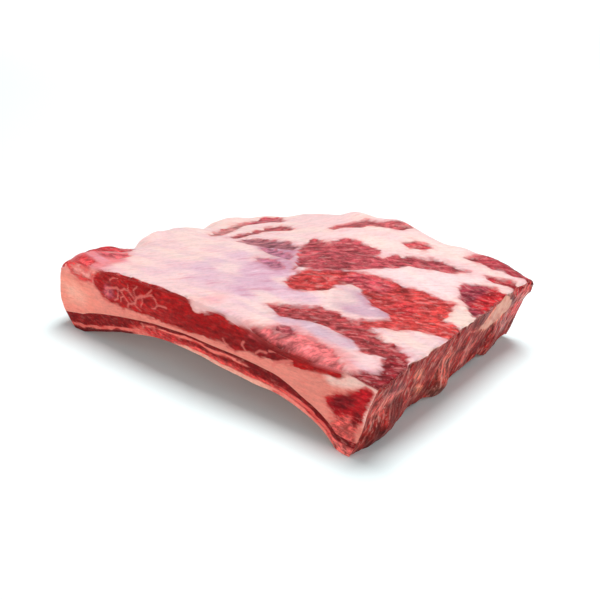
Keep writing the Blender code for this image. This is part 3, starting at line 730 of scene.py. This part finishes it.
# Ramps of a noise: where they start and end, and what they give there
SOFT_BORDER = (0.38, 0.62, 0.7, 3)  # smears; mm
LEAN_SHADE = {
    'middle': (0.34, 0.66, 0.62, 1.34), 'fine': (0.34, 0.66, 0.8, 1.2),
    'strands': (0.34, 0.48, 0.72, 1.06), 'broad': (0.35, 0.65, 0.84, 1.16),
}
LEAST_SHADE = 0.2
SHADE_STRENGTH = (0.9, 0.75)  # for each unit of streak, and without it
PALE = {'strands': (0.5, 0.66, 0, 1), 'smears': (0.4, 0.56, 0.25, 1)}
CROSSED = {'crossing': (0.54, 0.68, 0, 1), 'broad': (0.44, 0.58, 0, 1)}
SPECKLED = {'mottle': (0.56, 0.68, 0, 0.9)}
FAT_SHADE = {
    'smears': (0.35, 0.65, 0.93, 1.05), 'mottle': (0.3, 0.7, 0.92, 1.07),
    'wrinkles': (0.3, 0.7, 0.93, 1.06),
}
NEAR_LEAN = (-6, 0.5)  # mm inside the lean over which the fat turns pink
BLUSH_NEAR_LEAN = {'middle': (0.4, 0.62, 0.1, 0.7)}
BLUSH = {
    'mottle': (0.55, 0.75, 0, 0.4), 'smears': (0.54, 0.68, 0, 0.45),
    'wrinkles': (0.58, 0.7, 0, 0.4),
}
BLUSH_COLOUR = (0.84, 0.5, 0.5)  # multiplies the fat
FILM = (0, 0.11)  # how much bluer than green the fat is where it is silverskin
DARK_FILM = ({'smears': (0.46, 0.7, 0, 0.75)}, srgb((182, 128, 146)))
PALE_FILM = ({'smears': (0.46, 0.26, 0, 0.6)}, srgb((238, 210, 218)))
# Pale flecks on the lean: strands of fat, and painted sheen standing in for its moist highlights
PALE_FLECK_AND_SHEEN, FLECK_AND_SHEEN_SHARE = srgb((228, 132, 124)), 0.6
VEIN, VEIN_RAGGED, VEIN_RAMP = srgb((226, 116, 106)), 1.2, (-0.1, 1.3, 0, 0.68)
FAT_ROUGHNESS, LEAN_ROUGHNESS = 0.46, 0.36
MOIST = {
    'Subsurface Weight': 0.2, 'Subsurface Radius': (1, 0.3, 0.2), 'Subsurface Scale': 0.0018,
    'Specular IOR Level': 0.06,
}
LUMP_RELIEF, STRAND_RELIEF, MOTTLE_RELIEF = 0.8, 0.4, 0.7
BUMP = {'Strength': 0.5, 'Distance': 0.0006}


class Nodes:
    """A material and short ways to make and link its nodes."""

    def __init__(self, name):
        self.material = bpy.data.materials.new(name)
        self.material.use_nodes = True
        self.tree = self.material.node_tree
        self.shader = self.tree.nodes['Principled BSDF'].inputs
        self.noises = {}

    def put(self, sockets, values):
        """Link or set sockets; values has a socket's name or number for each value."""
        for key, value in values.items():
            if isinstance(value, bpy.types.NodeSocket):
                self.tree.links.new(value, sockets[key])
            else:
                sockets[key].default_value = value

    def node(self, kind, values=(), output=0, **settings):
        """The output of a new node with these values on its sockets."""
        made = self.tree.nodes.new('ShaderNode' + kind)
        for key, value in settings.items():
            setattr(made, key, value)
        self.put(made.inputs, dict(values))
        return made.outputs[output]

    def attribute(self, name, output):
        return self.node('Attribute', output=output, attribute_name=name)

    def math(self, operation, *values):
        return self.node('Math', enumerate(values), operation=operation)

    def vector_math(self, operation, a, b):
        second = 'Scale' if operation == 'SCALE' else 1
        return self.node('VectorMath', {0: a, second: b}, operation=operation)

    def add_noise(self, name, vector, squeeze, scale, detail, roughness, shift):
        vector = self.vector_math('MULTIPLY', vector, (squeeze, 1, 1))
        if shift:
            vector = self.vector_math('ADD', vector, [shift * way for way in SHIFT_WAY])
        self.noises[name] = self.node('TexNoise', {
            'Vector': vector, 'Scale': scale, 'Detail': detail, 'Roughness': roughness})

    def turned(self, vector, angle):
        return self.node('VectorRotate', {'Vector': vector, 'Angle': angle},
                         rotation_type='Z_AXIS')

    def ramp(self, value, start, end, low=0, high=1):
        return self.node('MapRange', enumerate((value, start, end, low, high)),
                         interpolation_type='SMOOTHSTEP')

    def ramps(self, table, operation='MULTIPLY'):
        """Ramps of the noises that a table names, joined by an operation."""
        made = (self.ramp(self.noises[name], *setting) for name, setting in table.items())
        return reduce(lambda a, b: self.math(operation, a, b), made)

    def blend(self, factor, a, b, kind='MIX'):
        """Colour a blended with b, which may be a triple."""
        if not isinstance(b, bpy.types.NodeSocket):
            b = (*b, 1)
        return self.node('Mix', {0: factor, 6: a, 7: b}, 2, data_type='RGBA', blend_type=kind)


def raw_surface(name, fat_turn=0):
    """Moist raw meat: fat and lean with a ragged border, pale strands with painted sheen, and
    lines of fat.

    fat_turn is the angle from the fibres of the lean to the wrinkles of the fat.
    """
    n = Nodes(name)
    lean, vein, streak = (n.attribute(key, 'Fac') for key in ('lean', 'vein', 'streak'))
    fat, red, place = (n.attribute(key, 'Vector') for key in ('fat', 'red', 'grain'))
    ways = {'lean': place, 'fat': n.turned(place, -fat_turn),
            'crossing': n.turned(place, CROSSING)}
    for key, (way, *settings) in NOISES.items():
        n.add_noise(key, ways[way], *settings)

    inside = -0.5 * sum(RAGGED_BORDER.values())
    for key, reach in RAGGED_BORDER.items():
        inside = n.math('MULTIPLY_ADD', n.noises[key], reach, inside)
    inside = n.math('ADD', inside, lean)
    soft = n.ramp(n.noises['smears'], *SOFT_BORDER)
    is_lean = n.ramp(inside, n.math('MULTIPLY', soft, -1), soft)

    shade = n.ramps(LEAN_SHADE)
    strength = n.math('MULTIPLY_ADD', streak, *SHADE_STRENGTH)
    shade = n.math('MULTIPLY_ADD', n.math('ADD', shade, -1), strength, 1)
    shaded = n.vector_math('SCALE', red, n.math('MAXIMUM', shade, LEAST_SHADE))
    # Pale strands and specks on the lean, which are also painted sheen in place of its moist
    # highlights
    fleck_and_sheen = n.math('MAXIMUM', n.ramps(PALE), n.ramps(CROSSED))
    fleck_and_sheen = n.math('MAXIMUM', fleck_and_sheen, n.ramps(SPECKLED))
    fleck_and_sheen = n.math('MULTIPLY', fleck_and_sheen, streak)
    lean_colour = n.blend(fleck_and_sheen, shaded, n.blend(FLECK_AND_SHEEN_SHARE, fat, PALE_FLECK_AND_SHEEN))

    fat_shaded = n.vector_math('SCALE', fat, n.ramps(FAT_SHADE))
    pink = n.blend(1, fat, BLUSH_COLOUR, 'MULTIPLY')
    near_lean = n.ramp(inside, *NEAR_LEAN)
    blush = n.math('MULTIPLY', near_lean, n.ramps(BLUSH_NEAR_LEAN))
    blush = n.math('MAXIMUM', blush, n.ramps(BLUSH, 'MAXIMUM'))
    fat_colour = n.blend(blush, fat_shaded, pink)
    green, blue = (n.node('SeparateColor', {0: fat}, part) for part in ('Green', 'Blue'))
    film = n.ramp(n.math('SUBTRACT', blue, green), *FILM)
    for table, tone in (DARK_FILM, PALE_FILM):
        share = n.math('MULTIPLY', film, n.ramps(table))
        fat_colour = n.blend(share, fat_colour, tone)

    colour = n.blend(is_lean, fat_colour, lean_colour)
    in_vein = n.math('MULTIPLY_ADD', n.noises['fine'], VEIN_RAGGED, vein)
    colour = n.blend(n.ramp(in_vein, *VEIN_RAMP), colour, VEIN)
    roughness = n.ramp(is_lean, 0, 1, FAT_ROUGHNESS, LEAN_ROUGHNESS)
    height = n.math('MULTIPLY', n.noises['strands'], STRAND_RELIEF)
    height = n.math('MULTIPLY_ADD', n.noises['middle'], LUMP_RELIEF, height)
    height = n.math('MULTIPLY', height, is_lean)
    height = n.math('MULTIPLY_ADD', n.noises['mottle'], MOTTLE_RELIEF, height)
    normal = n.node('Bump', {**BUMP, 'Height': height})
    n.put(n.shader, {**MOIST, 'Base Color': colour, 'Roughness': roughness, 'Normal': normal})
    return n.material


# ---- painting the pieces

# In the painters, spans of x, y and z are millimetres, and what multiplies a share is a
# strength from 0 to 1.

# Soft noise on a side (u, v): its amount, length of its swells along u and v, and the slice
SWELL_STEP = 9
SWELLS = {
    'cream': (1, 30, 12, 60), 'lilac': (1, 26, 7, 90),
    'bright': (1, 9, 6, 70), 'fibres': (0.45, 7, 2.8, 5),
    'top lumps': (0.35, 14, 7, 33), 'bare lumps': (1, 6, 4, 43),
    'wedge layers': (1, 26, 3, 54), 'cap': (0.5, 9, 9, 33),
    'spikes': (0.9, 3, 14, 59), 'sawn strands': (0.6, 9, 2.8, 53),
    'torn': (1, 6, 9, 57), 'finely torn': (0.6, 2.6, 5, 58),
    'patchy': (1, 12, 8, 63), 'drifts': (1, 30, 16, 64),
    'layers': (1, 60, 7, 73), 'thin layers': (0.35, 14, 4, 83),
    'far lumps': (0.4, 9, 4, 93), 'wavy': (1, 14, 4, 103),
    'membrane': (1, 30, 9, 113),
}
# How outlines lose their straight runs: length of the swells, mm, and the slice
RAGGED = {'top': (12, 2.4, 10), 'bare': (9, 1.4, 15), 'sawn': (7, 1.6, 25)}
RAGGED_STEP, RAGGED_OVER, RAGGED_NEXT = 5, 0.6, 40
LET_IN, FAR_LET_IN = 1.3, 0.6  # mm that the lean lies below the fat
LIP_MORE = TOP_LIGHT / ROUND_LIGHT - 1  # the rolled lip is lit as the rounded end is
DEEPEN = 1.25  # how much darker and more different the reds of the sawn end are
WARMER = (1.16, 0.86, 0.84)
FAT_CAP = 2.6  # mm of fat that shows at the top of the sawn end
TORN_DEPTH, TORN_REACH = 3.4, 11  # mm, at the top of the sawn end and down from it
EDGE_FALL, EDGE_MOST = 0.9, 4  # mm of lean lost for each mm below the edge


def swell(name, u, v):
    amount, along, over, cut = SWELLS[name]
    return amount * wave((along, over, SWELL_STEP), u, v, cut)


def ragged(side, u, v):
    along, amount, cut = RAGGED[side]
    size = (along, RAGGED_STEP, RAGGED_STEP)
    return (u + amount * wave(size, u, v, cut),
            v + RAGGED_OVER * amount * wave(size, u, v, cut + RAGGED_NEXT))


def fading(*spans):
    """Product of eased spans (start, end, v): 1 past every end, 0 before a start."""
    return math.prod(ease(*span) for span in spans)


def most_lean(u, v):
    """mm inside the lean of the fat side."""
    return reduce(np.maximum, (shape_distance(u, v, row[0]) for row in TOP_LEAN))


def carry_over(part, x, y, depth):
    """Let the lean of the fat side run a little way down a side; depth is mm below the edge."""
    inside = np.minimum(most_lean(x, y), EDGE_MOST) - EDGE_FALL * np.maximum(depth, 0)
    part.lean = np.maximum(part.lean, inside)


def paint_top(x, y):
    u, v = ragged('top', x, y)
    part = Coat('top', x, y)
    part.patches('fat', u, v, TOP_FAT)
    part.tint('fat', 0.6 * ease(-0.15, 0.45, swell('cream', x, y)), (252, 222, 212))
    lilac = ease(0, 0.4, swell('lilac', x, y))
    part.tint('fat', 0.35 * lilac * ease(190, 60, y), (228, 186, 202))
    part.add_lean(u, v, TOP_LEAN)
    part.lean += 1
    bright = ease(0, 0.5, swell('bright', x, y))
    centre = fading((215, 262, x), (62, 80, y), (122, 108, y))
    part.tint('red', 0.75 * bright * centre + 0.35 * centre, (214, 68, 64))
    part.patches('red', u, v, TOP_RED)
    cut = fading((266, 272, x), (126, 132, y), (166, 160, y))
    part.tint('red', cut, (190, 40, 46))
    shadow = ease(3.2, 1, line_distance(u, v, TORN_SHADOW))
    part.tint('fat', 0.5 * shadow, (176, 112, 116))
    edge = ease(3.2, 1.2, y)
    lens = shape_distance(x, top(x, np.full_like(y, 4)), LENS)
    part.lean = mix(part.lean, np.maximum(lens, part.lean), edge)
    part.tint('red', edge * ease(-2, 1, lens), (160, 34, 34))
    lip = ease(ROUND_END_RADIUS, 0, x - round_end(y, top(x, y)))
    part.fat *= np.minimum(1 + LIP_MORE * lip, MOST_ALBEDO / part.fat.max(axis=1))[:, None]
    inside = ease(*LEAN_BORDER, part.lean)
    fibres = swell('fibres', *part.grain.T[:2])
    part.relief = -LET_IN * inside + mix(swell('top lumps', x, y), fibres, inside)
    return part


def paint_bare(x, z):
    u, v = ragged('bare', x, z)
    part = Coat('bare', x, z)
    part.patches('fat', u, v, BARE_FAT)
    part.add_lean(u, v, BARE_LEAN)
    part.patches('red', u, v, BARE_RED)
    part.add_veins(u, v, BARE_VEINS)
    part.streak += 0.07 * ease(110, 60, x)
    part.streak += 0.5 * fading((175, 205, x), (56, 60, z))
    part.streak += 0.4 * fading((240, 250, x), (34, 24, z))
    inside = ease(*LEAN_BORDER, part.lean)
    lumps = swell('bare lumps', x, z)
    part.relief = mix(0.15 * lumps, 0.35 * lumps, inside) + 0.35 * ease(-1, 0.6, part.vein)
    return part


def paint_sawn(y, z):
    u, v = ragged('sawn', y, z)
    part = Coat('sawn', y, z)
    part.lean[:] = 2 * WELL_PAST
    part.patches('red', u, v, SAWN_RED)
    part.red = DEEPEN * part.red ** DEEPEN * WARMER
    part.add_veins(u, v, SAWN_VEINS)
    part.streak += 0.7 * ease(0.02, 0.2, part.red.mean(axis=1))
    wedge = ease(-1, 2, shape_distance(u, v, WEDGE))
    part.streak -= 0.3 * wedge
    part.tint('fat', wedge, (228, 166, 146))
    layers = swell('wedge layers', y - 0.8 * z, z + 0.7 * y)
    part.tint('fat', 0.8 * wedge * ease(0, 0.4, layers), (206, 122, 110))
    part.lean = mix(part.lean, -WELL_PAST, wedge)
    x = SAWN_FOOT + SAWN_LEAN * z
    below_top = top(x - 2 * SAWN_EDGE_RADIUS, y) - z
    cap = FAT_CAP * (1 + swell('cap', y, 0) + swell('spikes', y, z))
    cap = cap * ease(1, -3, most_lean(x - 3, y))
    part.lean = np.minimum(part.lean, below_top - cap)
    # Darker red just below the fat cap: painted shade under its rim
    part.tint('red', 0.7 * ease(cap + 5, cap + 1, below_top), (118, 40, 40))
    torn = swell('torn', y, z) + swell('finely torn', y, z)
    part.relief = swell('sawn strands', *part.grain.T[:2]) * (1 - 0.7 * wedge)
    part.relief -= TORN_DEPTH * np.abs(torn) * ease(TORN_REACH, 0, below_top)
    return part


def paint_round(y, z):
    part = Coat('round', y, z)
    patchy, drifts = swell('patchy', y, z), swell('drifts', y, z)
    part.tint('fat', ease(34, 84, y + 16 * drifts), (246, 190, 180))
    part.tint('fat', 0.7 * ease(-0.1, 0.4, patchy + 0.5 * drifts), (230, 138, 128))
    rim = fading((58, 46, y), (52, 58, z + 4 * patchy))
    lower = 0.35 * (30 - z) + 4 * drifts + 2 * patchy - 8 * ease(76, 48, y)
    part.lean = np.maximum(mix(-8, WELL_PAST, rim), lower)
    below_top = top(round_end(y, z) + ROUND_END_RADIUS, y) - z
    rolled = fading((14, 3, below_top + 5 * drifts), (46, 66, y))
    part.tint('fat', 0.9 * rolled, (250, 218, 212))
    carry_over(part, round_end(y, z) + 2, y, below_top)
    part.tint('red', rim, (204, 60, 64))
    part.relief = 0.35 * patchy
    return part


def paint_far(x, z):
    part = Coat('far', x, z)
    sag = 0.1 * (x - 120) ** 2 / 120
    layers = swell('layers', x, z + sag) + swell('thin layers', x, z)
    part.lean = 12 * (layers + 0.5 * bump(34, 24, z) - 0.3)
    part.tint('fat', ease(34, 14, z), (238, 178, 168))
    edge = np.full_like(x, WIDTH)
    carry_over(part, x, edge - 2, top(x, edge - FAR_EDGE_RADIUS) - z)
    part.relief = -FAR_LET_IN * ease(*LEAN_BORDER, part.lean) + swell('far lumps', x, z)
    return part


def paint_low_bare(x, z, w):
    """Bare side of the dark layer; w is the share of its height."""
    part = Coat('low bare', x, z)
    wavy = swell('wavy', x, z)
    w = w + BAND_WAVE * wavy
    part.lean = np.zeros_like(w)
    for (start, end), (low, high), kind, colour in LOW_BANDS:
        share = fading((-BAND_SOFT_W, BAND_SOFT_W, w - low),
                       (-BAND_SOFT_W, BAND_SOFT_W, high - w),
                       (start, start + BAND_SOFT_X, x), (end, end - BAND_SOFT_X, x))
        part.tint(kind, BAND_COVER * share, colour)
        part.lean = mix(part.lean, WELL_PAST if kind == 'red' else -WELL_PAST, share)
    part.streak += 0.6 * ease(240, 252, x)
    part.streak *= 0.15 + 0.85 * ease(0.03, 0.12, part.red.mean(axis=1))
    part.relief = 0.3 * wavy
    return part


def paint_under(x, y):
    part = Coat('under', x, y)
    patchy = swell('membrane', x, y)
    part.lean = 9 * (between_ribs(y) - 0.62 + 0.5 * patchy)
    part.tint('fat', 0.5 * ease(-0.1, 0.4, patchy), (206, 132, 122))
    part.relief = 0.25 * patchy
    return part


def paint_sides(side, block):
    """Coat of a block with its upright faces painted: where two meet, the later one wins."""
    coat = Coat(side, *np.zeros((2, len(block.points))))
    x, y, z = block.points.T
    for where, painter, u, v in (
        (block.far, paint_far, x, z),
        (block.round, paint_round, y, z),
        (block.sawn, paint_sawn, y, z),
        (block.bare, paint_bare, x, z),
    ):
        coat.merge(painter(u[where], v[where]), where)
    return coat


def upper_meat(material):
    def place(share, t, w):
        def line(x):
            y, rise = across(x, t)
            low_z = seam(x, y) + rise_under_rim(x, y, rise)
            return mix(y, WIDTH * t, w), mix(low_z, top(x, WIDTH * t), w)
        return placed(share, line)

    block = Block('upper_meat', place)
    coat = paint_sides('inside meat', block)
    x, y, _ = block.points[block.wide].T
    coat.merge(paint_top(x, y), block.wide)
    mesh_from('upper_meat', block, coat, material)


def rib(number, node, material):
    def place(share, t, w):
        number_t = (first_step(number) + t * RIB_STEPS[number]) / ACROSS

        def line(x):
            y, rise = across(x, number_t)
            return y, seam(x, y) + w * rise_under_rim(x, y, rise)
        return placed(share, line)

    block = Block(node, place)
    coat = paint_sides('inside rib', block)
    shows = block.sawn | block.round
    if number == 0:
        shows = shows | block.bare
    coat.relief[~shows] = 0
    mesh_from(node, block, coat, material)


def lower_meat(material):
    def place(share, t, w):
        def line(x):
            y = across(x, t)[0]
            return y, mix(underside(x, y), seam(x, y), w)
        return placed(share, line)

    block = Block('lower_meat', place, flip=True)
    coat = paint_sides('inside layer', block)
    x, y, _ = block.points[block.wide].T
    coat.merge(paint_under(x, y), block.wide)
    x, y, z = block.points[block.bare].T
    low, high = underside(x, y), seam(x, y)
    coat.merge(paint_low_bare(x, z, clamp((z - low) / (high - low))), block.bare)
    mesh_from('lower_meat', block, coat, material)


upper_meat(raw_surface('raw_meat', math.radians(FAT_TURN)))
rib_skin = raw_surface('rib_skin')
for number, node in enumerate(('rib_near', 'rib_middle', 'rib_far')):
    rib(number, node, rib_skin)
lower_meat(raw_surface('dark_layer'))


# ---- floor, light and camera

FLOOR_REACH = 6
FLOOR_LOOK = {
    'Base Color': (0.83, 0.95, 0.96, 1), 'Roughness': 0.9, 'Specular IOR Level': 0,
}
WORLD_STRENGTH = 0.23
# Lamps: place, what they are aimed at, size in metres, watts
LAMPS = {
    'overhead': ((0.02, 0.31, 1.55), (0, 0, 0), 0.75, 25),
    'side': ((1.7, 0.1, 1.15), (0.1, 0, 0), 2.4, 14.5),
    'front': ((-0.6, -1.6, 0.32), (0, 0, 0.04), 0.6, 10.5),
    'backdrop': ((-1.2, 1.35, 1.1), (-1.7, 1.9, 0), 1.2, 26),
}
CAMERA_PLACE = (0.4591, -0.5676, 0.4044)
CAMERA_AIM = (0.001, -0.0046, 0.02945)
LENS_MM, SENSOR_MM = 63, 36
SHIFT = (0.0165, 0.0028)
CLIP = (0.01, 50)


def floor():
    mesh = bpy.data.meshes.new('floor')
    ring = ((-1, -1), (1, -1), (1, 1), (-1, 1))
    mesh.from_pydata([(FLOOR_REACH * x, FLOOR_REACH * y, 0) for x, y in ring], [], [range(4)])
    n = Nodes('floor')
    n.put(n.shader, FLOOR_LOOK)
    mesh.materials.append(n.material)
    add_object('floor', mesh)


def aimed(name, data, place, aim):
    made = add_object(name, data)
    made.location = place
    made.rotation_mode = 'QUATERNION'
    made.rotation_quaternion = (Vector(aim) - Vector(place)).to_track_quat('-Z', 'Y')
    return made


def world_light():
    world = bpy.data.worlds.new('studio')
    world.use_nodes = True
    background = world.node_tree.nodes['Background'].inputs
    background['Color'].default_value = (1, 1, 1, 1)
    background['Strength'].default_value = WORLD_STRENGTH
    bpy.context.scene.world = world


def lamps():
    for name, (place, aim, size, power) in LAMPS.items():
        data = bpy.data.lights.new(name, 'AREA')
        data.size = size
        data.energy = power
        aimed(name, data, place, aim)


def camera():
    data = bpy.data.cameras.new('camera')
    data.lens = LENS_MM
    data.sensor_width = SENSOR_MM
    data.shift_x, data.shift_y = SHIFT
    data.clip_start, data.clip_end = CLIP
    bpy.context.scene.camera = aimed('camera', data, CAMERA_PLACE, CAMERA_AIM)


floor()
world_light()
lamps()
camera()
bpy.context.scene.view_settings.view_transform = 'Standard'
